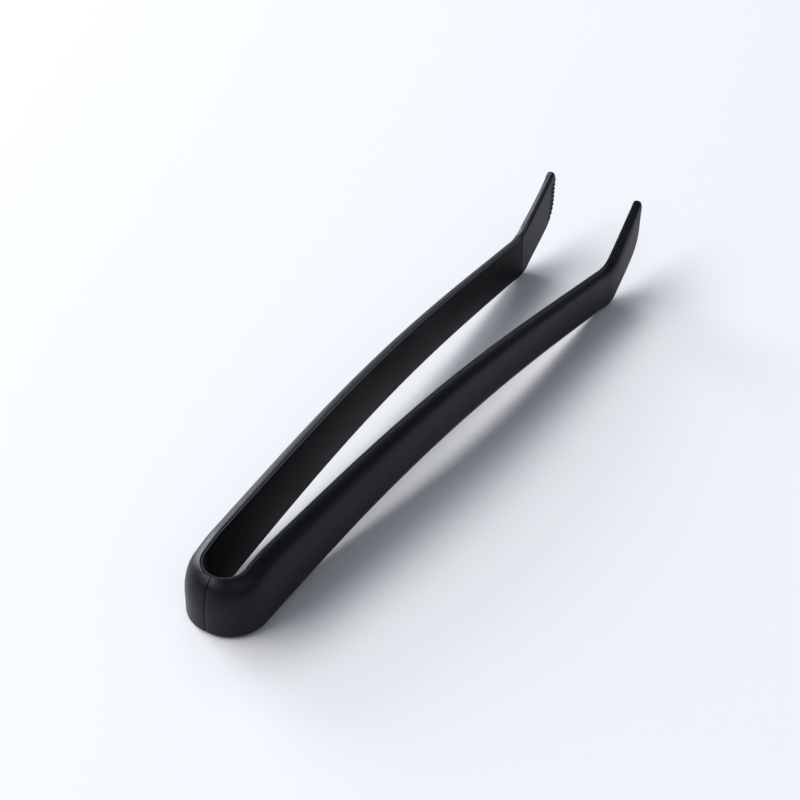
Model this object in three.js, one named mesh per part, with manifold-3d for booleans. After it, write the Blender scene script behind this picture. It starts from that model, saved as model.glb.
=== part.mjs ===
// Spring tongs for ice: a U-shaped heel, two arched arms and two upturned toothed jaws.
// Each side is a sandwich: a thin inner liner, a spring-steel strip and a crowned outer cover.
// Millimetres. X runs from the heel to the jaws, Y across the opening, Z up from the edge they lie on.

import * as THREE from 'three';
import { mergeVertices } from 'three/addons/utils/BufferGeometryUtils.js';
import Module from 'manifold-3d';

const wasm = await Module();
wasm.setup();

// ---- driving dimensions; x is counted from the heel's apex ----
const LENGTH = 167.7;
const BEND_RADIUS = 4.9; // inner radius of the heel
const BEND_X = 8.7; // x of the bend's centre
const ELBOW_X = 152; // where the arms kink up into the jaws
const HALF_GAP_ELBOW = 11.75; // inner face to the middle plane at the elbow
const GAP_POWER = 1.06; // above 1, so the faces leave the bend without a kink
const JAW_TOE_IN = 0.02; // inward slope of the jaws

const ARCH = 5.6; // how far the lower edge lifts at mid length
const ARCH_POWER = 1.08;
const ARCH_END = 153.3; // the arms lie on the table again here
const HEIGHT_HEEL = 15.85;
const HEIGHT_ELBOW = 11.35;
const HEIGHT_POWER = 1.65;
const RIM_DROP = 2; // the top rim sinks this much towards the apex
const RIM_LEVEL_X = 19; // from here on it doesn't

// thickness of one side, across the sandwich
const FULL_APEX = 3.6;
const FULL_HEEL = 4.1;
const FULL_CORNER = 0.35; // extra at 45 degrees round the bend
const FULL_ELBOW = 2.4;
const FULL_JAW_END = 2.1;
const EDGE_APEX = 1.0; // flat width of the top edge before the crown starts
const EDGE_HEEL = 2.1;
const EDGE_ELBOW = 1.45;
const EDGE_JAW = 1.75;
const EDGE_JAW_END = 1.5;
const FOOT_APEX = 3.3; // flat width of the heel's underside
const FOOT_HEEL = 2.1;
const CROWN_HEIGHT_HEEL = 0.42; // where the section is thickest, as a share of its height
const CROWN_HEIGHT_ARM = 0.5;
const SQUARE_APEX = 5; // superellipse exponent of the lower half
const SQUARE_HEEL = 2.4;
const BLEND_END = 45; // x where the heel's section has become the arm's

// the layers
const LINER = 0.6;
const CLEAR = 0.3; // gap between pieces that touch
const STRIP = 0.7;
const STRIP_MARGIN = 2.6; // strip edge to cover edge
const STRIP_END = 140;
const COVER_IN = LINER + CLEAR;
const POCKET_FLOOR = COVER_IN + STRIP + CLEAR;

// the flexing place, modelled as a hinge, and the pegs that hold the layers together
const HINGE_X = 24;
const SPLIT = 0.4;
const ARM_PEGS = [40, 76, 112];
const HEEL_PEG = 15;
const PEG_RADIUS = 1.3;
const PEG_REACH = 2.1;
const SOCKET_DEPTH = 2.4;

const TOOTH_COUNT = 9;
const TOOTH_PITCH = 1.15;
const TOOTH_DEPTH = 0.4;
const TOOTH_LENGTH = 1.7;
const TOOTH_FIRST_Z = 10.6;

const ARC = BEND_RADIUS * Math.PI / 2; // length along the inner face round a quarter of the bend
const { lerp: mix, clamp, smoothstep: ease } = THREE.MathUtils;

// ---- the shape as functions of x ----
const along = (x) => clamp((x - BEND_X) / (ELBOW_X - BEND_X), 0, 1);

function innerY(x) {
  const toeIn = JAW_TOE_IN * Math.max(0, x - ELBOW_X);
  return mix(BEND_RADIUS, HALF_GAP_ELBOW, along(x) ** GAP_POWER) - toeIn;
}

function bottomZ(x) {
  const way = clamp((x - BEND_X) / (ARCH_END - BEND_X), 0, 1);
  return ARCH * Math.sin(Math.PI * Math.min(way, 1 - way)) ** ARCH_POWER;
}

function rimZ(x) {
  const height = mix(HEIGHT_ELBOW, HEIGHT_HEEL, (1 - along(x)) ** HEIGHT_POWER);
  const apex = BEND_X - BEND_RADIUS;
  return bottomZ(x) + height - RIM_DROP * (1 - ease(x, apex, RIM_LEVEL_X));
}

// s is the distance along the inner face from the apex; it is negative on the right side
const xToS = (x) => x - BEND_X + ARC;
const sToX = (s) => BEND_X + Math.abs(s) - ARC;

function facePoint(s, z, depth) {
  const side = Math.sign(s) || 1;
  const run = Math.abs(s);
  if (run < ARC) {
    const angle = run / BEND_RADIUS;
    const reach = BEND_RADIUS + depth;
    return new THREE.Vector3(BEND_X - reach * Math.cos(angle), side * reach * Math.sin(angle), z);
  }
  const x = sToX(s);
  const slope = (innerY(x + 0.5) - innerY(x - 0.5)) * ease(x, BEND_X, BEND_X + 6);
  const scale = depth / Math.hypot(1, slope);
  return new THREE.Vector3(x - slope * scale, side * (innerY(x) + scale), z);
}

// ---- stations: one cross-section each, from a lower-edge point to an upper-edge point ----
function heelStation(s) {
  const turn = Math.sin(Math.abs(s) / BEND_RADIUS) ** 2;
  const corner = Math.sin(2 * Math.abs(s) / BEND_RADIUS) ** 2;
  return {
    top: { s, z: rimZ(BEND_X - BEND_RADIUS * Math.cos(s / BEND_RADIUS)) },
    bottom: { s, z: 0 },
    full: mix(FULL_APEX, FULL_HEEL, turn) + FULL_CORNER * corner,
    edge: mix(EDGE_APEX, EDGE_HEEL, turn),
    foot: mix(FOOT_APEX, FOOT_HEEL, turn),
    waist: CROWN_HEIGHT_HEEL,
    squareness: mix(SQUARE_APEX, SQUARE_HEEL, turn),
  };
}

function armStation(s) {
  const x = sToX(s);
  const blend = ease(x, BEND_X, BLEND_END);
  const edge = mix(EDGE_HEEL, EDGE_ELBOW, along(x));
  return {
    top: { s, z: rimZ(x) },
    bottom: { s, z: bottomZ(x) },
    full: mix(FULL_HEEL, FULL_ELBOW, along(x)),
    edge,
    foot: mix(FOOT_HEEL, edge, blend),
    waist: mix(CROWN_HEIGHT_HEEL, CROWN_HEIGHT_ARM, blend),
    squareness: mix(SQUARE_HEEL, 2, blend),
  };
}

const station = (s) => (Math.abs(s) < ARC ? heelStation(s) : armStation(s));

// the jaw's outline in x and z, from where it leaves the arm
const JAW_FROM = 148;
const THROAT = new THREE.Vector2(151.5, 11.25); // corner of the top edge, rounded off
const THROAT_END = new THREE.Vector2(153.6, 12.9);
const NOSE_START = new THREE.Vector2(165, 21.7);
const NOSE = new THREE.Vector2(166.5, 22.9);
const NOSE_END = new THREE.Vector2(167.1, 22.7);
const ELBOW = new THREE.Vector2(153.3, -0.92); // corner of the lower edge, rounded off
const ELBOW_END = new THREE.Vector2(155.4, 1.6);
const CHIN_START = new THREE.Vector2(162.4, 6.6);
const CHIN = new THREE.Vector2(166.6, 9.6);
const CHIN_END = new THREE.Vector2(167.1, 14);
const BITE_END = new THREE.Vector2(LENGTH, 21.8);

function jawTopEdge() {
  const path = new THREE.Path();
  path.moveTo(JAW_FROM, rimZ(JAW_FROM));
  path.quadraticCurveTo(THROAT.x, THROAT.y, THROAT_END.x, THROAT_END.y);
  path.lineTo(NOSE_START.x, NOSE_START.y);
  path.quadraticCurveTo(NOSE.x, NOSE.y, NOSE_END.x, NOSE_END.y);
  return path;
}

function jawBottomEdge() {
  const path = new THREE.Path();
  path.moveTo(JAW_FROM, bottomZ(JAW_FROM));
  path.quadraticCurveTo(ELBOW.x, ELBOW.y, ELBOW_END.x, ELBOW_END.y);
  path.lineTo(CHIN_START.x, CHIN_START.y);
  path.quadraticCurveTo(CHIN.x, CHIN.y, CHIN_END.x, CHIN_END.y);
  path.lineTo(BITE_END.x, BITE_END.y);
  return path;
}

function jawStations(count) {
  const tops = jawTopEdge().getSpacedPoints(count);
  const bottoms = jawBottomEdge().getSpacedPoints(count);
  return tops.map((top, i) => {
    const v = i / count;
    const edge = mix(EDGE_ELBOW, EDGE_JAW, ease(v, 0, 0.5));
    return {
      top: { s: xToS(top.x), z: top.y },
      bottom: { s: xToS(bottoms[i].x), z: bottoms[i].y },
      full: mix(FULL_ELBOW, FULL_JAW_END, ease(v, 0.4, 1)),
      edge: mix(edge, EDGE_JAW_END, ease(v, 0.6, 1)),
      foot: mix(edge, EDGE_JAW_END, ease(v, 0.6, 1)),
      waist: CROWN_HEIGHT_ARM,
      squareness: 2,
    };
  });
}

function stationsBetween(from, to, step) {
  const count = Math.max(2, Math.ceil(Math.abs(to - from) / step));
  return Array.from({ length: count + 1 }, (_, i) => station(mix(from, to, i / count)));
}

// stations from the apex side of a piece to its jaw end, finer round the bend
function heelRun(from, to) {
  const bend = Math.sign(to) * ARC;
  return [...stationsBetween(from, bend, 0.75), ...stationsBetween(bend, to, 2.5).slice(1)];
}

const armRun = (fromX) => [...stationsBetween(xToS(fromX), xToS(JAW_FROM), 6), ...jawStations(20).slice(1)];

// ---- cross-sections: points { depth, share }, share running from the lower to the upper edge ----
const CROWN_STEPS = 7;

function coverSection(at) {
  const points = [{ depth: COVER_IN, share: 0 }];
  for (let i = 0; i <= CROWN_STEPS; i += 1) {
    const angle = Math.PI / 2 * (1 - i / CROWN_STEPS);
    const power = 2 / at.squareness;
    points.push({
      depth: at.foot + (at.full - at.foot) * Math.max(0, Math.cos(angle)) ** power,
      share: at.waist * (1 - Math.sin(angle) ** power),
    });
  }
  for (let i = 1; i <= CROWN_STEPS; i += 1) {
    const angle = Math.PI / 2 * i / CROWN_STEPS;
    points.push({
      depth: at.edge + (at.full - at.edge) * Math.cos(angle),
      share: mix(at.waist, 1, Math.sin(angle)),
    });
  }
  points.push({ depth: COVER_IN, share: 1 });
  return points;
}

// a flat layer between two depths, kept a margin in millimetres from both edges
const layerSection = (inner, outer, margin) => (at) => {
  const tall = Math.hypot(at.top.z - at.bottom.z, at.top.s - at.bottom.s);
  const low = margin / tall;
  return [
    { depth: inner, share: low },
    { depth: outer, share: low },
    { depth: outer, share: 1 - low },
    { depth: inner, share: 1 - low },
  ];
};

function ring(at, section) {
  return section(at).map(({ depth, share }) => {
    const s = mix(at.bottom.s, at.top.s, share);
    const z = mix(at.bottom.z, at.top.z, share);
    return facePoint(s, z, depth);
  });
}

// ---- solids ----
function loft(stations, section) {
  const rings = stations.map((at) => ring(at, section));
  const size = rings[0].length;
  const positions = rings.flat().flatMap((p) => p.toArray());
  const index = [];
  for (let i = 0; i + 1 < rings.length; i += 1) {
    for (let j = 0; j < size; j += 1) {
      const a = i * size + j;
      const b = i * size + (j + 1) % size;
      index.push(a, b, b + size, a, b + size, a + size);
    }
  }
  addCap(index, section(stations[0]), 0, true);
  addCap(index, section(stations.at(-1)), (rings.length - 1) * size, false);
  return solidFrom(positions, index);
}

function addCap(index, section, offset, isStart) {
  const flat = section.map(({ depth, share }) => new THREE.Vector2(depth, share * HEIGHT_HEEL));
  for (const [a, b, c] of THREE.ShapeUtils.triangulateShape(flat, [])) {
    if (isStart) index.push(offset + c, offset + b, offset + a);
    else index.push(offset + a, offset + b, offset + c);
  }
}

function solidFrom(positions, index) {
  const geometry = new THREE.BufferGeometry();
  geometry.setAttribute('position', new THREE.Float32BufferAttribute(positions, 3));
  geometry.setIndex(index);
  return toManifold(geometry);
}

function toManifold(geometry) {
  const bare = geometry.clone();
  bare.deleteAttribute('normal');
  bare.deleteAttribute('uv');
  const merged = mergeVertices(bare, 1e-5);
  const mesh = new wasm.Mesh({
    numProp: 3,
    vertProperties: new Float32Array(merged.attributes.position.array),
    triVerts: new Uint32Array(merged.index.array),
  });
  mesh.merge();
  const solid = new wasm.Manifold(mesh);
  return solid.volume() < 0 ? flipped(merged) : solid;
}

function flipped(geometry) {
  const turned = Uint32Array.from(geometry.index.array).reverse();
  return new wasm.Manifold(new wasm.Mesh({
    numProp: 3,
    vertProperties: new Float32Array(geometry.attributes.position.array),
    triVerts: turned,
  }));
}

function toGeometry(solid) {
  const mesh = solid.getMesh();
  const geometry = new THREE.BufferGeometry();
  geometry.setAttribute('position', new THREE.BufferAttribute(new Float32Array(mesh.vertProperties), 3));
  geometry.setIndex(new THREE.BufferAttribute(new Uint32Array(mesh.triVerts), 1));
  geometry.computeVertexNormals();
  return geometry;
}

// the same piece on the other side of the middle plane
function mirrored(geometry) {
  const copy = geometry.clone().scale(1, -1, 1);
  copy.index.array.reverse();
  copy.computeVertexNormals();
  return copy;
}

// a round bar across the layers at x, from one depth to another
function crossBar(x, fromDepth, toDepth, radius, side = 1) {
  const middle = station(xToS(x));
  const z = (middle.top.z + middle.bottom.z) / 2;
  const start = facePoint(side * xToS(x), z, fromDepth);
  const end = facePoint(side * xToS(x), z, toDepth);
  const bar = new THREE.CylinderGeometry(radius, radius, start.distanceTo(end), 16);
  const direction = end.clone().sub(start).normalize();
  bar.applyQuaternion(new THREE.Quaternion().setFromUnitVectors(new THREE.Vector3(0, 1, 0), direction));
  bar.translate(...start.add(end).multiplyScalar(0.5).toArray());
  return toManifold(bar);
}

const joinAll = (solid, others) => others.reduce((sum, other) => sum.add(other), solid);
const cutAll = (solid, tools) => tools.reduce((rest, tool) => rest.subtract(tool), solid);

// ---- the pieces ----
const linerSection = layerSection(0, LINER, 0);
const stripSection = layerSection(COVER_IN, COVER_IN + STRIP, STRIP_MARGIN);
const pocketSection = layerSection(0, POCKET_FLOOR, STRIP_MARGIN - CLEAR);

const peg = (x, side) => crossBar(x, LINER / 2, PEG_REACH, PEG_RADIUS, side);
const pegHole = (x, side) => crossBar(x, LINER + CLEAR / 2, SOCKET_DEPTH, PEG_RADIUS + CLEAR, side);

const HEEL_END = xToS(HINGE_X - SPLIT / 2);
const ARM_START = HINGE_X + SPLIT / 2;
const SEAM_START = CLEAR / 2;
const POCKET_OVERRUN = 1;

function heelCover() {
  const shell = loft(heelRun(SEAM_START, HEEL_END), coverSection);
  const run = heelRun(SEAM_START - 0.1, HEEL_END + POCKET_OVERRUN);
  return cutAll(shell, [loft(run, pocketSection), pegHole(HEEL_PEG, 1)]);
}

function heelU(section) {
  const left = heelRun(0, HEEL_END);
  const right = heelRun(0, -HEEL_END).slice(1).reverse();
  return loft([...right, ...left], section);
}

const heelLiner = () => joinAll(heelU(linerSection), [peg(HEEL_PEG, 1), peg(HEEL_PEG, -1)]);
const springBow = () => cutAll(heelU(stripSection), [pegHole(HEEL_PEG, 1), pegHole(HEEL_PEG, -1)]);

function armCover() {
  const shell = loft(armRun(ARM_START), coverSection);
  const from = xToS(ARM_START - POCKET_OVERRUN);
  const pocket = loft(stationsBetween(from, xToS(STRIP_END + CLEAR), 6), pocketSection);
  return cutAll(shell, [pocket, ...ARM_PEGS.map((x) => pegHole(x, 1))]);
}

// everything on the jaw side of x, for cutting
function jawSideOf(x) {
  const size = 60;
  const block = new THREE.BoxGeometry(size, size, size).translate(x + size / 2, 0, 0);
  return toManifold(block);
}

function armLiner() {
  const layer = loft(armRun(ARM_START), linerSection).subtract(jawSideOf(ELBOW_X - CLEAR / 2));
  return joinAll(layer, ARM_PEGS.map((x) => peg(x, 1)));
}

function springLeg() {
  const leg = loft(stationsBetween(xToS(ARM_START), xToS(STRIP_END), 6), stripSection);
  return cutAll(leg, ARM_PEGS.map((x) => pegHole(x, 1)));
}

// one V groove across the gripping face, level, running in from the jaw's front edge
function toothGroove(z) {
  const outline = new THREE.Shape();
  const half = TOOTH_PITCH * 0.9;
  outline.moveTo(-TOOTH_DEPTH, -half);
  outline.lineTo(TOOTH_DEPTH, 0);
  outline.lineTo(-TOOTH_DEPTH, half);
  const bar = new THREE.ExtrudeGeometry(outline, { depth: TOOTH_LENGTH * 2, bevelEnabled: false });
  const turn = new THREE.Matrix4().makeBasis(
    new THREE.Vector3(0, 1, 0),
    new THREE.Vector3(0, 0, 1),
    new THREE.Vector3(1, 0, 0),
  );
  const front = mix(CHIN.x, BITE_END.x, (z - CHIN.y) / (BITE_END.y - CHIN.y));
  bar.applyMatrix4(turn).translate(front - TOOTH_LENGTH, innerY(front), z);
  return toManifold(bar);
}

function jawPad() {
  const levels = Array.from({ length: TOOTH_COUNT }, (_, i) => TOOTH_FIRST_Z + i * TOOTH_PITCH);
  const layer = loft(armRun(ARM_START), linerSection).intersect(jawSideOf(ELBOW_X + CLEAR / 2));
  return cutAll(layer, levels.map(toothGroove));
}

// ---- materials ----
const blackMoulding = { color: 0x1b1b1d, roughness: 0.55, metalness: 0 };
const blackLiner = { color: 0x202022, roughness: 0.6, metalness: 0 };
const springSteel = { color: 0xa9abae, roughness: 0.35, metalness: 1 };

function piece(name, geometry, look) {
  const mesh = new THREE.Mesh(geometry, new THREE.MeshStandardMaterial(look));
  mesh.name = name;
  return mesh;
}

function pair(name, solid, look) {
  const left = toGeometry(solid);
  return { left: piece(`${name}_left`, left, look), right: piece(`${name}_right`, mirrored(left), look) };
}

// ---- assembly ----
function buildTongs() {
  const heel = new THREE.Group();
  const leftArm = new THREE.Group();
  const rightArm = new THREE.Group();

  const heelCovers = pair('heel_cover', heelCover(), blackMoulding);
  heel.add(heelCovers.left, heelCovers.right);
  heel.add(piece('heel_liner', toGeometry(heelLiner()), blackLiner));
  heel.add(piece('spring_bow', toGeometry(springBow()), springSteel));

  const armPieces = [
    pair('arm_cover', armCover(), blackMoulding),
    pair('arm_liner', armLiner(), blackLiner),
    pair('spring_leg', springLeg(), springSteel),
    pair('jaw_pad', jawPad(), blackLiner),
  ];
  armPieces.forEach(({ left, right }) => {
    leftArm.add(left);
    rightArm.add(right);
  });

  const tongs = new THREE.Group();
  tongs.add(heel, leftArm, rightArm);
  tongs.position.x = -LENGTH / 2;
  return tongs;
}

export default buildTongs();
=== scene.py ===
"""Looks for the black spring tongs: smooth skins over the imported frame, matt mouldings, a pale studio."""

import math

import bmesh
import bpy
from mathutils import Matrix, Vector


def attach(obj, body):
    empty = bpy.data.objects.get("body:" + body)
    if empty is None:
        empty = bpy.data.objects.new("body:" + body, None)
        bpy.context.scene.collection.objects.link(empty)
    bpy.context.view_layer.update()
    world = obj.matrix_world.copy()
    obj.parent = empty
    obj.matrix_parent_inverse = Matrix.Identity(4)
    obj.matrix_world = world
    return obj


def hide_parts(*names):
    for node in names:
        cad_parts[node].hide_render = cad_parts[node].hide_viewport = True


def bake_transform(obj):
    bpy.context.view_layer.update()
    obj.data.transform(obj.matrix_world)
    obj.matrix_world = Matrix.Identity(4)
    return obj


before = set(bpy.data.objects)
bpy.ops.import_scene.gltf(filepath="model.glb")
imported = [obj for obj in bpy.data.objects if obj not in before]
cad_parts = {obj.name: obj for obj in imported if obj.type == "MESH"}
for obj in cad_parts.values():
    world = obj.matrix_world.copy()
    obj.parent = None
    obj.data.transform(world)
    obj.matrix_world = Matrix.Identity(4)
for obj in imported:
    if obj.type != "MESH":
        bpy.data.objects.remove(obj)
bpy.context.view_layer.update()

MM = 0.001

# ---- driving dimensions in mm; x runs from the heel's apex ----
# the path, the arch and the heights are the CAD's; at their thickest the covers stand up to 0.8 mm further
# out here, and the drop of the rim, the liner and the nose of the jaws differ by a few tenths
LENGTH = 167.7
BEND_RADIUS = 4.9  # inner radius of the heel
BEND_X = 8.7  # x of the bend's centre
ELBOW_X = 152.0
HALF_GAP_ELBOW = 11.75  # inner face to the middle plane at the elbow
GAP_POWER = 1.06
JAW_TOE_IN = 0.02  # inward slope of the jaws
ARCH = 5.6  # how far the lower edge lifts at mid length
ARCH_POWER = 1.08
ARCH_END = 153.3  # the arms lie on the table again here
HEIGHT_HEEL = 15.85
HEIGHT_ELBOW = 11.35
HEIGHT_POWER = 1.65
RIM_DROP = 1.6  # the rim sinks this much towards the apex
RIM_LEVEL_X = 14.5  # from here on it doesn't
ARC = BEND_RADIUS * math.pi / 2  # length along the inner face round a quarter of the bend
SLOPE_LENGTH = 6.0  # after the bend, the wall turns to its slope over this length

# ---- the outer face at places along the part ----
# from the seam it leaves at a tilt (degrees) for a share of the thickness (reach), and it stands upright
# at the waist (a share of the height); lift and lean pull the curve up to the edge and in to the seam;
# the foot is the same curve from the lower edge
PLACES = [BEND_X - BEND_RADIUS, BEND_X, 45.0, 90.0, ELBOW_X]
APEX, BEND, GRIP = 0, 1, 2
ELBOW_AT = len(PLACES) - 1
FULL = [3.66, 4.82, 4.5, 3.95, 2.72]
TILT = [40.0, 19.0, 14.0, 11.0, 9.0]
REACH = [0.75, 0.62, 0.60, 0.62, 0.75]
WAIST = [0.40, 0.54, 0.54, 0.56, 0.66]
LIFT = [0.6, 0.76, 0.84, 0.84, 0.82]
LEAN = [0.0, 0.16, 0.22, 0.16, 0.05]
FOOT_TILT = [0.0, 4.0, 18.0, 16.0, 14.0]
FOOT_REACH = [1.0, 0.98, 0.75, 0.72, 0.72]
FOOT_WAIST = [0.12, 0.18, 0.26, 0.26, 0.26]
FOOT_LIFT = 0.6
INNER_ROUND = [0.24, 0.2, 0.12, 0.12, 0.12]  # radius of the liner's upper inner edge
# round the heel the wall thickens early and the shoulder keeps the apex's soft shape for long
FULL_POWER, SHAPE_POWER = 0.9, 2.2

# ---- the layers ----
LINER = 0.55
SEAM = 0.13  # gap between liner and cover
APEX_SEAM = 0.03  # gap between the covers at the apex, at its foot
APEX_LEAN = 0.05  # and how much further each cover leans back at its top
COVER_CORNER = 0.07
LINER_CORNER = 0.05
LOWER_BEVEL, JAW_LOWER_BEVEL = 0.16, 0.3  # the liner's lower inner edge, on the arms and on the jaws
BEVEL_BOW = 0.3  # how close to the corner that bevel's middle comes, as a share of its size
JAW_BEVEL = (0.42, 1.15)  # the jaws' upper inner edge is rounded this far in and this far down
JAW_BEVEL_TALL = 4.0  # where the jaw is lower than this, less far down

# ---- the spring strip and its pocket in the covers ----
STRIP = 0.7
STRIP_MARGIN = 2.6  # strip edge to cover edge
STRIP_END = 140.0
STRIP_BEVEL = 0.1
STRIP_IN = LINER + 0.25
POCKET_CLEAR = 0.2
POCKET_FLOOR = STRIP_IN + STRIP + POCKET_CLEAR
POCKET_MARGIN_SHARE = 0.3  # where the part is low, the pocket's margin is at most this share
POCKET_RUN_OUT = 1.5  # past the strip's end the pocket gets shallow over this length
SHALLOW = 0.05  # and it keeps this depth

# ---- the jaws ----
JAW_FROM = 148.0
THROAT, THROAT_END = (151.5, 11.25), (153.6, 12.9)
NOSE_START, NOSE, NOSE_END = (165.0, 22.0), (166.4, 23.4), (167.0, 23.2)
ELBOW, ELBOW_END = (153.3, -0.92), (155.4, 1.6)
CHIN_START, CHIN, CHIN_END = (162.4, 6.6), (166.6, 9.6), (167.1, 14.0)
BITE_END = (LENGTH, 22.2)
FULL_TIP = 2.15
JAW_TILT = 26.0
# shares of the jaw's length over which it gets thinner, its shoulder steeper and its inner edge rounder
THINNING, STEEPENING, ROUNDING = (0.3, 1.0), (0.1, 0.5), (0.08, 0.4)
TIP_RADIUS, TIP_SHRINK = 1.3, 0.58  # the tip is rounded off over this length, by this share of it
MOST_INSET = 0.95  # a section never shrinks by more than this share of its height
PAD_GAP = 0.05  # each side of the joint line between liner and jaw pad

TOOTH_COUNT, TOOTH_PITCH, TOOTH_FIRST_Z = 9, 1.15, 10.6
TOOTH_DEPTH, TOOTH_LENGTH = 0.46, 2.1
GROOVE_PROUD = 0.2  # the cutter starts this far off the gripping face
GROOVE_HALF = TOOTH_PITCH * 0.69  # and is this wide there, each side of its middle
GROOVE_RISE = 0.5  # at its far end the groove is shallower by this share of its depth
GROOVE_PAST = 1.0  # the cutter reaches this far past the front edge

# ---- how fine the skins are ----
BEND_STEP, HEEL_STEP, ARM_STEP = 0.3, 1.0, 1.6
JAW_COUNT = 60
ELBOW_STEPS, NOSE_STEPS, CHIN_STEPS = 24, 12, 16
CROWN_STEPS, ROUND_STEPS, BEVEL_STEPS = 16, 4, 10


def mix(a, b, t):
    return a + (b - a) * t


def clamp(x, low, high):
    return max(low, min(high, x))


def ease(x, low, high):
    t = clamp((x - low) / (high - low), 0.0, 1.0)
    return t * t * (3 - 2 * t)


# ---- the shape as functions of x ----
def along(x):
    return clamp((x - BEND_X) / (ELBOW_X - BEND_X), 0.0, 1.0)


def inner_y(x):
    toe_in = JAW_TOE_IN * max(0.0, x - ELBOW_X)
    return mix(BEND_RADIUS, HALF_GAP_ELBOW, along(x) ** GAP_POWER) - toe_in


def bottom_z(x):
    way = clamp((x - BEND_X) / (ARCH_END - BEND_X), 0.0, 1.0)
    return ARCH * math.sin(math.pi * min(way, 1 - way)) ** ARCH_POWER


def rim_z(x):
    height = mix(HEIGHT_ELBOW, HEIGHT_HEEL, (1 - along(x)) ** HEIGHT_POWER)
    return bottom_z(x) + height - RIM_DROP * (1 - ease(x, BEND_X - BEND_RADIUS, RIM_LEVEL_X))


def x_to_s(x):
    return x - BEND_X + ARC


def s_to_x(s):
    return BEND_X + s - ARC


def in_frame(x, y, z):
    """A point in mm from the apex, as the frame's metres."""
    return ((x - LENGTH / 2) * MM, y * MM, z * MM)


def face_point(s, z, depth):
    """The point at distance s from the apex along the inner face, depth mm into the wall, left side."""
    if s < ARC:
        angle = s / BEND_RADIUS
        reach = BEND_RADIUS + depth
        return Vector((BEND_X - reach * math.cos(angle), reach * math.sin(angle), z))
    x = s_to_x(s)
    slope = (inner_y(x + 0.5) - inner_y(x - 0.5)) * ease(x, BEND_X, BEND_X + SLOPE_LENGTH)
    scale = depth / math.hypot(1, slope)
    return Vector((x - slope * scale, inner_y(x) + scale, z))


# ---- stations ----
class Station:
    """One cross-section: its lower and upper edge points as (s, z), and its sizes."""

    def __init__(self, low, high, sizes, jaw=0.0, inset=0.0):
        self.low, self.high = low, high
        self.full, self.tilt, self.reach, self.waist, self.lift, self.lean = sizes[:6]
        self.foot_tilt, self.foot_reach, self.foot_waist, self.round = sizes[6:]
        self.jaw, self.inset = jaw, inset
        self.tall = math.dist(low, high)

    def middle(self):
        return tuple(mix(a, b, 0.5) for a, b in zip(self.low, self.high))

    def place(self, depth, up):
        """up is in mm from the lower edge along the station's line. The inset shrinks it to its middle."""
        middle = self.tall / 2
        up = middle + (up - middle) * (1 - min(MOST_INSET, self.inset / middle))
        centre = self.full / 2
        depth = centre + (depth - centre) * (1 - self.inset / centre)
        share = up / self.tall
        s = mix(self.low[0], self.high[0], share)
        z = mix(self.low[1], self.high[1], share)
        return face_point(s, z, depth)


def sizes_at(place):
    """The section sizes at a place counted in PLACES, with fractions."""
    i = min(int(place), len(PLACES) - 2)
    t = place - i
    rows = (TILT, REACH, WAIST, LIFT, LEAN, FOOT_TILT, FOOT_REACH, FOOT_WAIST, INNER_ROUND)
    shape = [mix(row[i], row[i + 1], t**SHAPE_POWER if i == APEX else t) for row in rows]
    return [mix(FULL[i], FULL[i + 1], t**FULL_POWER if i == APEX else t)] + shape


def place_of(x):
    for i in range(BEND, ELBOW_AT):
        if x < PLACES[i + 1]:
            return i + (x - PLACES[i]) / (PLACES[i + 1] - PLACES[i])
    return ELBOW_AT


def heel_station(s, inset=0.0, lean=0.0):
    """lean moves the upper end this far from the apex, so that the seam there widens upwards."""
    rim = rim_z(BEND_X - BEND_RADIUS * math.cos(s / BEND_RADIUS))
    return Station((s, 0.0), (s + lean, rim), sizes_at(s / ARC), inset=inset)


def arm_station(s):
    x = s_to_x(s)
    return Station((s, bottom_z(x)), (s, rim_z(x)), sizes_at(place_of(x)))


def station(s):
    return heel_station(s) if s < ARC else arm_station(s)


def bezier(a, b, c, count):
    """Points on a quadratic curve, without its last."""
    points = []
    for i in range(count):
        t = i / count
        points.append(tuple(mix(mix(p, q, t), mix(q, r, t), t) for p, q, r in zip(a, b, c)))
    return points


def evenly(points, count):
    """count + 1 points at equal spacing along a polyline."""
    lengths = [0.0]
    for a, b in zip(points, points[1:]):
        lengths.append(lengths[-1] + math.dist(a, b))
    spaced, i = [], 0
    for k in range(count + 1):
        wanted = lengths[-1] * k / count
        while i < len(points) - 2 and lengths[i + 1] < wanted:
            i += 1
        t = (wanted - lengths[i]) / (lengths[i + 1] - lengths[i])
        spaced.append(tuple(mix(p, q, t) for p, q in zip(points[i], points[i + 1])))
    return spaced


def front_edge():
    """The jaw's outline from the chin to the bite, as (x, z)."""
    return bezier(CHIN_START, CHIN, CHIN_END, CHIN_STEPS) + [CHIN_END, BITE_END]


def front_x(z):
    """The jaw's front edge at height z."""
    edge = front_edge()
    for (x_low, z_low), (x_high, z_high) in zip(edge, edge[1:]):
        if z <= z_high:
            return mix(x_low, x_high, (z - z_low) / (z_high - z_low))
    return BITE_END[0]


def jaw_stations():
    top = bezier((JAW_FROM, rim_z(JAW_FROM)), THROAT, THROAT_END, ELBOW_STEPS)
    top += bezier(NOSE_START, NOSE, NOSE_END, NOSE_STEPS) + [NOSE_END]
    low = bezier((JAW_FROM, bottom_z(JAW_FROM)), ELBOW, ELBOW_END, ELBOW_STEPS) + front_edge()
    made = []
    for i, (a, b) in enumerate(zip(evenly(low, JAW_COUNT), evenly(top, JAW_COUNT))):
        v = i / JAW_COUNT
        ends = (x_to_s(a[0]), a[1]), (x_to_s(b[0]), b[1])
        st = Station(*ends, sizes_at(ELBOW_AT), jaw=ease(v, *ROUNDING))
        st.full = mix(st.full, FULL_TIP, ease(v, *THINNING))
        st.tilt = mix(st.tilt, JAW_TILT, ease(v, *STEEPENING))
        made.append(st)
    return rounded_end(made)


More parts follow.
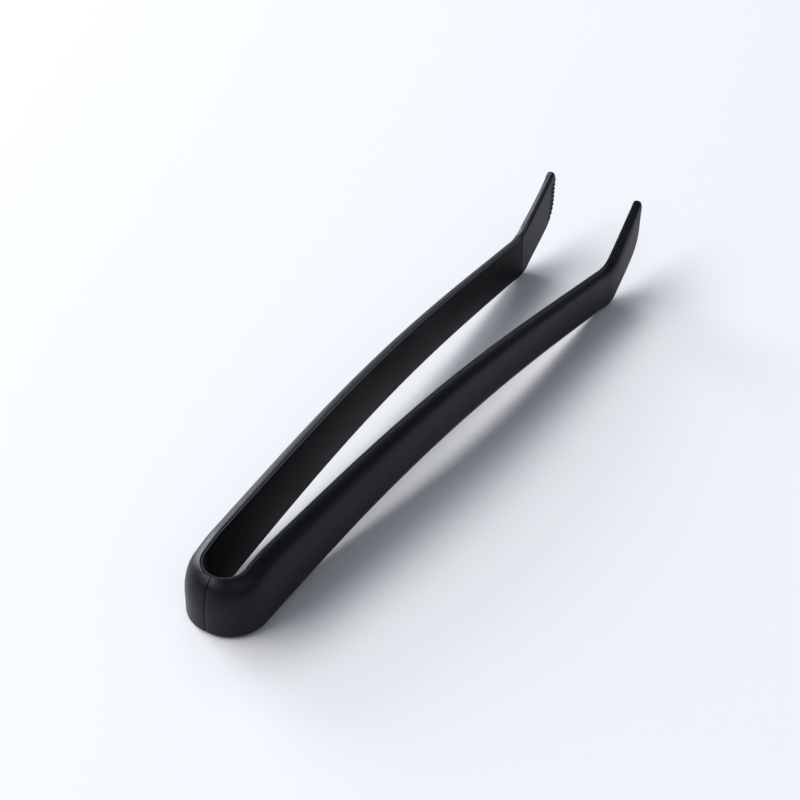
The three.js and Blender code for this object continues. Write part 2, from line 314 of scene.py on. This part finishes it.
def rounded_end(stations):
    """The last stations shrink along a quarter circle, so the tip is rounded off."""
    for st in stations:
        share = math.dist(st.middle(), stations[-1].middle()) / TIP_RADIUS
        if share < 1:
            st.inset = TIP_RADIUS * (1 - math.sqrt(max(0.0, 1 - (1 - share) ** 2))) * TIP_SHRINK
    return stations


def spread(start, end, step):
    """Values from start on at about this step, without the end."""
    count = max(1, math.ceil((end - start) / step))
    return [mix(start, end, i / count) for i in range(count)]


def run_to(end_x, start=0.0):
    """Distances s from start to the place x, fine round the bend."""
    grip_s = x_to_s(PLACES[GRIP])
    heel = spread(start, ARC, BEND_STEP) + spread(ARC, grip_s, HEEL_STEP)
    return heel + spread(grip_s, x_to_s(end_x), ARM_STEP)


# ---- sections: closed outlines of (depth, up) in mm, counter-clockwise from the lower inner corner ----
def crown(depth, edge, full, waist, tilt, share, lift, lean=0.0):
    """The outer face from the seam at the edge to where it stands upright: a cubic curve."""
    reach = (full - depth) * share
    t = math.radians(tilt)
    down = -1 if edge > waist else 1
    controls = (
        (depth, edge),
        (depth + reach * math.cos(t), edge + down * reach * math.sin(t)),
        (full - lean * (full - depth), waist + lift * (edge - waist)),
        (full, waist),
    )
    points = []
    for i in range(CROWN_STEPS + 1):
        u = i / CROWN_STEPS
        v = 1 - u
        weights = (v**3, 3 * v * v * u, 3 * v * u * u, u**3)
        points.append(tuple(sum(w * p[axis] for w, p in zip(weights, controls)) for axis in (0, 1)))
    return points


def corner(depth, up, out_d, out_u, radius):
    """A rounded corner at (depth, up) whose material lies towards (out_d, out_u); from the level side on."""
    points = []
    for i in range(ROUND_STEPS + 1):
        angle = math.pi / 2 * i / ROUND_STEPS
        across, rise = 1 - math.sin(angle), 1 - math.cos(angle)
        points.append((depth + out_d * radius * across, up + out_u * radius * rise))
    return points


def cover_section(st):
    """The cover: a rounded back from foot to shoulder, and the strip's pocket in its inner face."""
    seam = LINER + SEAM
    start = seam + COVER_CORNER
    foot_at, waist_at = st.tall * st.foot_waist, st.tall * st.waist
    foot = crown(start, 0.0, st.full, foot_at, st.foot_tilt, st.foot_reach, FOOT_LIFT)
    shoulder = crown(start, st.tall, st.full, waist_at, st.tilt, st.reach, st.lift, st.lean)
    outline = corner(seam, 0.0, 1, 1, COVER_CORNER)[::-1]
    outline += foot[1:] + shoulder[::-1][:-1]
    outline += corner(seam, st.tall, 1, -1, COVER_CORNER)
    run_out = ease(s_to_x(st.low[0]), STRIP_END, STRIP_END + POCKET_RUN_OUT)
    floor = mix(POCKET_FLOOR, seam + SHALLOW, run_out)
    margin = min(STRIP_MARGIN - POCKET_CLEAR, st.tall * POCKET_MARGIN_SHARE)
    top = st.tall - margin
    return outline + [(seam, top), (floor, top), (floor, margin), (seam, margin)]


def layer_section(st):
    """The liner: its inner upper edge is rounded, and more widely on the jaws."""
    across = mix(st.round, JAW_BEVEL[0], st.jaw)
    down = mix(st.round, JAW_BEVEL[1], st.jaw) * min(1.0, st.tall / JAW_BEVEL_TALL)
    low = mix(LOWER_BEVEL, JAW_LOWER_BEVEL, st.jaw)
    outline = [(0.0, low), (low * BEVEL_BOW, low * BEVEL_BOW), (low, 0.0)]
    outline += corner(LINER, 0.0, -1, 1, LINER_CORNER)
    outline += corner(LINER, st.tall, -1, -1, LINER_CORNER)[::-1]
    for i in range(1, BEVEL_STEPS):
        angle = math.pi / 2 * i / BEVEL_STEPS
        outline.append((across * (1 - math.sin(angle)), st.tall - down * (1 - math.cos(angle))))
    outline.append((0.0, st.tall - down))
    return outline


def strip_section(st):
    """A flat bar with bevelled corners."""
    b = STRIP_BEVEL
    inner, outer = STRIP_IN, STRIP_IN + STRIP
    low, high = STRIP_MARGIN, st.tall - STRIP_MARGIN
    lower = [(inner, low + b), (inner + b, low), (outer - b, low), (outer, low + b)]
    return lower + [(outer, high - b), (outer - b, high), (inner + b, high), (inner, high - b)]


def loft(name, stations, section, side):
    """A closed skin through the stations. side is 1 for the left and -1 for the right."""
    rings = [[st.place(d, u) for d, u in section(st)] for st in stations]
    size = len(rings[0])
    verts = [in_frame(p.x, p.y * side, p.z) for ring in rings for p in ring]
    faces = []
    for i in range(len(rings) - 1):
        for j in range(size):
            k = (j + 1) % size
            faces.append((i * size + j, i * size + k, (i + 1) * size + k, (i + 1) * size + j))
    faces.append(tuple(range(size))[::-1])
    faces.append(tuple((len(rings) - 1) * size + j for j in range(size)))
    if side > 0:
        faces = [f[::-1] for f in faces]
    mesh = bpy.data.meshes.new(name)
    mesh.from_pydata(verts, [], faces)
    mesh.validate()
    mesh.update()
    obj = bpy.data.objects.new(name, mesh)
    bpy.context.scene.collection.objects.link(obj)
    for poly in mesh.polygons:
        poly.use_smooth = len(poly.vertices) == 4
    return obj


def sharpen(obj, degrees):
    """Edges sharper than this stay crisp."""
    limit = math.radians(degrees)
    mesh = obj.data
    normals = {}
    for poly in mesh.polygons:
        for key in poly.edge_keys:
            normals.setdefault(key, []).append(poly.normal)
    for edge in mesh.edges:
        pair = normals.get(tuple(sorted(edge.vertices)), [])
        edge.use_edge_sharp = len(pair) == 2 and pair[0].angle(pair[1], 0.0) > limit


# ---- materials ----
def new_material(name):
    mat = bpy.data.materials.new(name)
    mat.use_nodes = True
    nodes = mat.node_tree.nodes
    return mat, nodes, mat.node_tree.links, nodes["Principled BSDF"]


def noise(nodes, links, coords, scale, detail=2.0, rough=0.5):
    node = nodes.new("ShaderNodeTexNoise")
    node.inputs["Scale"].default_value = scale
    node.inputs["Detail"].default_value = detail
    node.inputs["Roughness"].default_value = rough
    links.new(coords, node.inputs["Vector"])
    return node.outputs["Fac"]


def ramp(nodes, links, value, stops):
    node = nodes.new("ShaderNodeValToRGB")
    elements = node.color_ramp.elements
    while len(elements) < len(stops):
        elements.new(0.5)
    for element, (place, colour) in zip(elements, stops):
        element.position = place
        element.color = (*colour, 1.0)
    links.new(value, node.inputs["Fac"])
    return node.outputs["Color"]


def span(nodes, links, value, low, high):
    """Spreads a noise value, which keeps near 0.5, from low to high."""
    node = nodes.new("ShaderNodeMapRange")
    node.inputs["From Min"].default_value = 0.3
    node.inputs["From Max"].default_value = 0.7
    node.inputs["To Min"].default_value = low
    node.inputs["To Max"].default_value = high
    links.new(value, node.inputs["Value"])
    return node.outputs["Result"]


def average(nodes, links, first, second):
    node = nodes.new("ShaderNodeMix")
    links.new(first, node.inputs["A"])
    links.new(second, node.inputs["B"])
    return node.outputs["Result"]


TOP_HIGHLIGHT_FROM = 0.90  # the painted highlight on up-facing faces starts where the normal's z is above this, and is full where it is 1


def with_painted_top_highlight(nodes, links, colour, normal, top_highlight):
    """The colour with a painted highlight, a lighter colour, on what faces straight up, such as the rims."""
    parts = nodes.new("ShaderNodeSeparateXYZ")
    links.new(normal, parts.inputs[0])
    facing = nodes.new("ShaderNodeMapRange")
    facing.interpolation_type = "SMOOTHSTEP"
    facing.inputs["From Min"].default_value = TOP_HIGHLIGHT_FROM
    facing.inputs["From Max"].default_value = 1.0
    links.new(parts.outputs["Z"], facing.inputs["Value"])
    both = nodes.new("ShaderNodeMixRGB")
    links.new(facing.outputs["Result"], both.inputs["Fac"])
    links.new(colour, both.inputs["Color1"])
    both.inputs["Color2"].default_value = (*top_highlight, 1.0)
    return both.outputs["Color"]


# noise scales per metre: faint clouds in the gloss, the moulded grain, and grit on it
CLOUD_SCALE, GRAIN_SCALE, GRIT_SCALE = 60.0, 2200.0, 5200.0
GRAIN_HEIGHT = 0.00006
COOL_GLOSS = (0.86, 0.92, 1.0, 1.0)


def moulded_plastic(name, shades, roughness, grain, gloss, top_highlight):
    """shades are the dark and light of the grain, roughness its lowest and highest value."""
    mat, nodes, links, shader = new_material(name)
    place = nodes.new("ShaderNodeTexCoord")
    coords = place.outputs["Object"]
    cloudy = noise(nodes, links, coords, CLOUD_SCALE, detail=3.0)
    fine = noise(nodes, links, coords, GRAIN_SCALE, rough=0.6)
    grit = noise(nodes, links, coords, GRIT_SCALE, detail=1.0)
    colour = ramp(nodes, links, fine, [(0.3, shades[0]), (0.75, shades[1])])
    # a painted highlight: faces that point straight up, the rims most, get a lighter colour
    colour = with_painted_top_highlight(nodes, links, colour, place.outputs["Normal"], top_highlight)
    links.new(colour, shader.inputs["Base Color"])
    gloss_noise = average(nodes, links, cloudy, fine)
    links.new(span(nodes, links, gloss_noise, *roughness), shader.inputs["Roughness"])
    bump = nodes.new("ShaderNodeBump")
    bump.inputs["Strength"].default_value = grain
    bump.inputs["Distance"].default_value = GRAIN_HEIGHT
    links.new(average(nodes, links, fine, grit), bump.inputs["Height"])
    links.new(bump.outputs["Normal"], shader.inputs["Normal"])
    shader.inputs["Specular IOR Level"].default_value = gloss
    shader.inputs["Specular Tint"].default_value = COOL_GLOSS
    return mat


BRUSHED = (40.0, 4000.0, 4000.0)  # long along x and fine across
STEEL_SHADES = [(0.3, (0.36, 0.37, 0.38)), (0.7, (0.55, 0.56, 0.57))]


def spring_steel():
    mat, nodes, links, shader = new_material("spring_steel")
    coords = nodes.new("ShaderNodeTexCoord").outputs["Object"]
    stretch = nodes.new("ShaderNodeMapping")
    stretch.inputs["Scale"].default_value = BRUSHED
    links.new(coords, stretch.inputs["Vector"])
    lines = noise(nodes, links, stretch.outputs["Vector"], scale=1.0)
    links.new(ramp(nodes, links, lines, STEEL_SHADES), shader.inputs["Base Color"])
    links.new(span(nodes, links, lines, 0.25, 0.4), shader.inputs["Roughness"])
    shader.inputs["Metallic"].default_value = 1.0
    return mat


COVER_BLACK = ((0.0018, 0.0018, 0.0025), (0.0056, 0.0056, 0.0072))
LINER_BLACK = ((0.0022, 0.0022, 0.0030), (0.0042, 0.0042, 0.0056))
# lighter colours painted onto up-facing faces as a highlight: faint on the covers and pads, stronger on the
# liner's rim
FAINT_TOP_HIGHLIGHT, RIM_TOP_HIGHLIGHT = (0.014, 0.014, 0.016), (0.036, 0.037, 0.042)

black = moulded_plastic("black_moulding", COVER_BLACK, (0.27, 0.45), 0.9, 0.21, FAINT_TOP_HIGHLIGHT)
black_liner = moulded_plastic("black_liner", LINER_BLACK, (0.38, 0.54), 0.7, 0.07, RIM_TOP_HIGHLIGHT)
black_pad = moulded_plastic("black_pad", COVER_BLACK, (0.26, 0.40), 0.8, 0.22, FAINT_TOP_HIGHLIGHT)
steel = spring_steel()


# ---- the pieces ----
def apex_rounding():
    """Short steps that round off the two covers where they meet at the apex, wider at the top."""
    first = APEX_SEAM / 2
    made = []
    for i in range(ROUND_STEPS):
        angle = math.pi / 2 * i / ROUND_STEPS
        step = COVER_CORNER * (1 - math.cos(angle))
        inset = COVER_CORNER * (1 - math.sin(angle))
        made.append(heel_station(first + step, inset, APEX_LEAN * (1 - step / COVER_CORNER)))
    return made, first + COVER_CORNER


def make_cover(side, word):
    rounding, start = apex_rounding()
    stations = rounding + [station(s) for s in run_to(JAW_FROM, start)] + jaw_stations()
    obj = loft(f"cover_{word}", stations, cover_section, side)
    return finish_piece(obj, black, crisp=50)


def make_liner(side, word):
    stations = [station(s) for s in run_to(JAW_FROM)] + jaw_stations()
    obj = loft(f"liner_{word}", stations, layer_section, side)
    keep_side(obj, ELBOW_X - PAD_GAP, -1)
    return finish_piece(obj, black_liner, crisp=35)


PAD_LEAD = 4.0  # the pad's skin starts this far before the jaw, and is cut at the elbow
FLAT_ACROSS = 0.998  # faces whose normal is this close to the y axis are shaded flat, as the grip is


def make_pad(side, word):
    lead = spread(x_to_s(JAW_FROM - PAD_LEAD), x_to_s(JAW_FROM), HEEL_STEP)
    stations = [station(s) for s in lead] + jaw_stations()
    obj = loft(f"jaw_pad_{word}_skin", stations, layer_section, side)
    keep_side(obj, ELBOW_X + PAD_GAP, 1)
    cut_teeth(obj, side)
    for poly in obj.data.polygons:
        if abs(poly.normal.y) > FLAT_ACROSS:
            poly.use_smooth = False
    return finish_piece(obj, black_pad, crisp=25)


def make_strip(side, word):
    stations = [station(s) for s in run_to(STRIP_END)] + [station(x_to_s(STRIP_END))]
    obj = loft(f"spring_strip_{word}", stations, strip_section, side)
    return finish_piece(obj, steel, crisp=35)


def add_groove(bm, z, side):
    """A V-shaped bar, level, that runs in from the jaw's front edge at height z."""
    front = front_x(z)
    face = inner_y(front)
    proud = face - GROOVE_PROUD
    outline = [(proud, z - GROOVE_HALF), (face + TOOTH_DEPTH, z), (proud, z + GROOVE_HALF)]
    ends = []
    for x, rise in ((front - TOOTH_LENGTH, GROOVE_RISE), (front + GROOVE_PAST, 0.0)):
        corners = [in_frame(x, side * (y - rise * TOOTH_DEPTH), level) for y, level in outline]
        ends.append([bm.verts.new(point) for point in corners])
    a, b = ends
    bm.faces.new(a)
    bm.faces.new(b[::-1])
    for j in range(3):
        k = (j + 1) % 3
        bm.faces.new((a[j], b[j], b[k], a[k]))


def cut_teeth(pad, side):
    """V grooves across the gripping face leave the teeth."""
    bm = bmesh.new()
    for i in range(TOOTH_COUNT):
        add_groove(bm, TOOTH_FIRST_Z + i * TOOTH_PITCH, side)
    bmesh.ops.recalc_face_normals(bm, faces=bm.faces)
    mesh = bpy.data.meshes.new("grooves")
    bm.to_mesh(mesh)
    bm.free()
    cutter = bpy.data.objects.new("grooves", mesh)
    bpy.context.scene.collection.objects.link(cutter)
    cut = pad.modifiers.new("grooves", "BOOLEAN")
    cut.operation, cut.solver, cut.object = "DIFFERENCE", "EXACT", cutter
    graph = bpy.context.evaluated_depsgraph_get()
    pad.data = bpy.data.meshes.new_from_object(pad.evaluated_get(graph))
    pad.modifiers.clear()
    bpy.data.objects.remove(cutter)


def keep_side(obj, x, sign):
    """Cuts obj at x and closes it. sign -1 keeps the heel's side, 1 the jaw's."""
    bm = bmesh.new()
    bm.from_mesh(obj.data)
    cut = bmesh.ops.bisect_plane(
        bm,
        geom=bm.verts[:] + bm.edges[:] + bm.faces[:],
        plane_co=in_frame(x, 0, 0),
        plane_no=(-sign, 0, 0),
        clear_outer=True,
    )
    rim = [e for e in cut["geom_cut"] if isinstance(e, bmesh.types.BMEdge)]
    closing = bmesh.ops.holes_fill(bm, edges=[e for e in rim if e.is_boundary], sides=0)
    for face in closing["faces"]:
        face.smooth = False
    bm.normal_update()
    bm.to_mesh(obj.data)
    bm.free()
    obj.data.update()


def finish_piece(obj, material, crisp):
    """crisp is the angle in degrees from which edges stay sharp."""
    sharpen(obj, crisp)
    obj.data.materials.append(material)
    return obj


def bend_with(obj):
    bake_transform(obj)


for side, word in ((1, "left"), (-1, "right")):
    cover = make_cover(side, word)
    bend_with(cover)
    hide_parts(f"heel_cover_{word}", f"arm_cover_{word}")
    liner = make_liner(side, word)
    bend_with(liner)
    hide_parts("heel_liner", f"arm_liner_{word}")
    strip = make_strip(side, word)
    bend_with(strip)
    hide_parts("spring_bow", f"spring_leg_{word}")
    pad = make_pad(side, word)
    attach(pad, f"arm_{word}")
    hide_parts(f"jaw_pad_{word}")


# ---- floor ----
FLOOR_RADIUS = 4.0
FLOOR_SHADES = [(0.2, (0.80, 0.803, 0.82)), (0.8, (0.815, 0.818, 0.833))]


def make_floor():
    bpy.ops.mesh.primitive_circle_add(vertices=96, radius=FLOOR_RADIUS, fill_type="NGON")
    floor = bpy.context.object
    floor.name = "floor"
    mat, nodes, links, shader = new_material("floor_paper")
    coords = nodes.new("ShaderNodeTexCoord").outputs["Object"]
    tone = noise(nodes, links, coords, scale=3.0, detail=1.0)
    links.new(ramp(nodes, links, tone, FLOOR_SHADES), shader.inputs["Base Color"])
    shader.inputs["Roughness"].default_value = 0.7
    shader.inputs["Specular IOR Level"].default_value = 0.2
    floor.data.materials.append(mat)


make_floor()

# ---- light ----
LIGHT_DISTANCE = 3.0
# name, azimuth from +X towards +Y and elevation in degrees, width and height in metres, watts, colour
SOFTBOXES = [
    ("key_softbox", 118, 44, 4.6, 1.1, 122.0, (0.985, 0.985, 1.0)),
    ("low_softbox", 72, 17, 1.3, 0.9, 52.0, (0.92, 0.955, 1.0)),
    ("back_panel", 34, 37, 1.1, 0.9, 9.0, (0.92, 0.96, 1.0)),
    ("front_fill", 238, 45, 2.0, 1.4, 7.5, (0.92, 0.95, 1.0)),
]


def softbox(name, azimuth, elevation, width, height, power, colour):
    """A rectangular light that looks at the middle of the part."""
    a, e = math.radians(azimuth), math.radians(elevation)
    direction = Vector((math.cos(a) * math.cos(e), math.sin(a) * math.cos(e), math.sin(e)))
    place = direction * LIGHT_DISTANCE
    light = bpy.data.lights.new(name, "AREA")
    light.shape = "RECTANGLE"
    light.size, light.size_y = width, height
    light.energy = power
    light.color = colour
    obj = bpy.data.objects.new(name, light)
    obj.location = place
    obj.rotation_euler = (-place).to_track_quat("-Z", "Y").to_euler()
    bpy.context.scene.collection.objects.link(obj)


for box in SOFTBOXES:
    softbox(*box)

# the dim room by the direction's z, lighter near the horizon, where the pale table goes on
ROOM = [
    (0.0, (0.22, 0.235, 0.26)),
    (0.15, (0.27, 0.285, 0.32)),
    (0.40, (0.29, 0.305, 0.34)),
    (0.62, (0.16, 0.17, 0.20)),
    (1.0, (0.17, 0.185, 0.215)),
]


def make_world():
    world = bpy.data.worlds.new("studio")
    bpy.context.scene.world = world
    world.use_nodes = True
    nodes, links = world.node_tree.nodes, world.node_tree.links
    direction = nodes.new("ShaderNodeTexCoord").outputs["Generated"]
    parts = nodes.new("ShaderNodeSeparateXYZ")
    links.new(direction, parts.inputs[0])
    colour = ramp(nodes, links, parts.outputs["Z"], ROOM)
    links.new(colour, nodes["Background"].inputs["Color"])


make_world()

# ---- camera: a long lens that looks down at 38 degrees from beyond the heel ----
CAMERA_PLACE = (-0.36819, -0.23288, 0.34617)
CAMERA_RIGHT = (0.54262, -0.83998, 0.0)
CAMERA_UP = (0.51456, 0.33240, 0.79040)
CAMERA_BACK = (-0.66392, -0.42889, 0.61259)
LENS, SENSOR = 106.1, 36.0


def make_camera():
    data = bpy.data.cameras.new("camera")
    data.sensor_width, data.lens = SENSOR, LENS
    data.clip_start = 0.01
    camera = bpy.data.objects.new("camera", data)
    turn = Matrix((CAMERA_RIGHT, CAMERA_UP, CAMERA_BACK)).transposed()
    camera.matrix_world = Matrix.Translation(CAMERA_PLACE) @ turn.to_4x4()
    bpy.context.scene.collection.objects.link(camera)
    bpy.context.scene.camera = camera


make_camera()
bpy.context.scene.view_settings.view_transform = "Standard"
